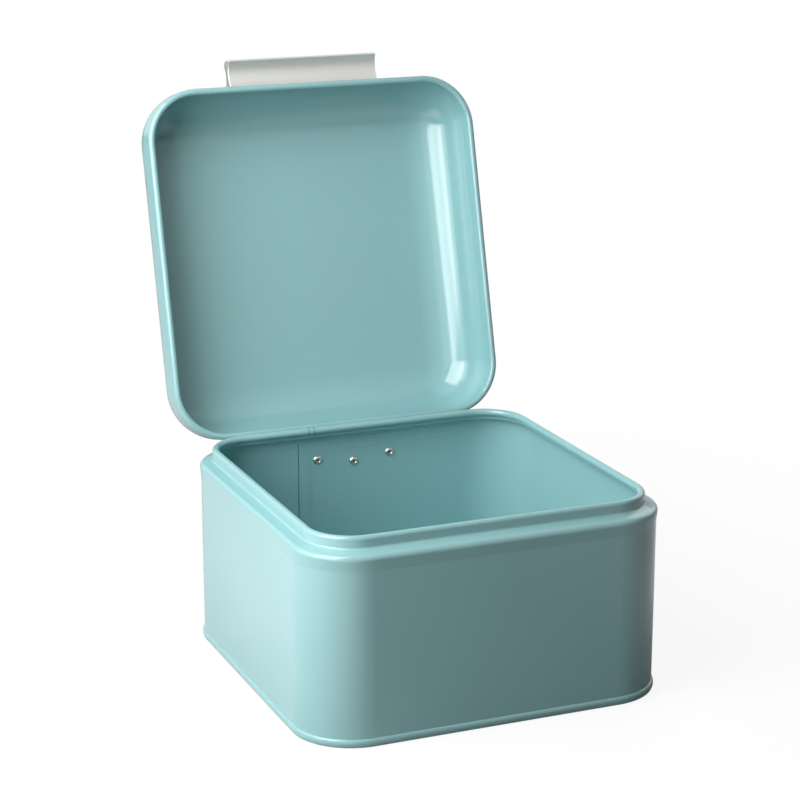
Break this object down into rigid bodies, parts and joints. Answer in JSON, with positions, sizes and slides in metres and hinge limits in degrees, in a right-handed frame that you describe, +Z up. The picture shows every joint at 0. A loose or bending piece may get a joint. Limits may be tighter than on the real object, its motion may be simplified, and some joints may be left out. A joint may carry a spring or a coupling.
{
  "type": "hinged-lid storage tin",
  "caption": "Square round-cornered sheet-steel storage tin, painted inside and out, with a deep hinged lid standing open and a satin metal grip along the lid's front.",
  "frame": {"origin": "centre of the base, on the surface the tin stands on", "axes": "+Z up, -Y the front with the grip, +Y the hinge at the back, +X to the right seen from the front"},
  "size_m": [0.1712, 0.2528, 0.2595],
  "materials": {
    "mint_paint": "semi-gloss",
    "satin_grip": "satin",
    "bond": "matte",
    "pin_steel": "satin",
    "rivet_aluminium": "satin",
    "mandrel_steel": "rough break"
  },
  "bodies": {
    "tin": {"body_wall": "mint_paint", "base_panel": "mint_paint", "hinge_body_leaf": "mint_paint", "hinge_pin": "pin_steel", "body_rivet_left": "rivet_aluminium", "body_rivet_middle": "rivet_aluminium", "body_rivet_right": "rivet_aluminium", "body_mandrel_left": "mandrel_steel", "body_mandrel_middle": "mandrel_steel", "body_mandrel_right": "mandrel_steel"},
    "lid": {"lid_shell": "mint_paint", "handle": "satin_grip", "handle_bond": "bond", "hinge_lid_leaf": "mint_paint", "lid_rivet_left": "rivet_aluminium", "lid_rivet_middle": "rivet_aluminium", "lid_rivet_right": "rivet_aluminium", "lid_mandrel_left": "mandrel_steel", "lid_mandrel_middle": "mandrel_steel", "lid_mandrel_right": "mandrel_steel"}
  },
  "joints": [
    {"name": "lid_hinge", "type": "hinge", "parent": "tin", "child": "lid", "pos_m": [0, 0.08965, 0.0816], "axis": [1, 0, 0], "range_deg": [0, 105]}
  ]
}
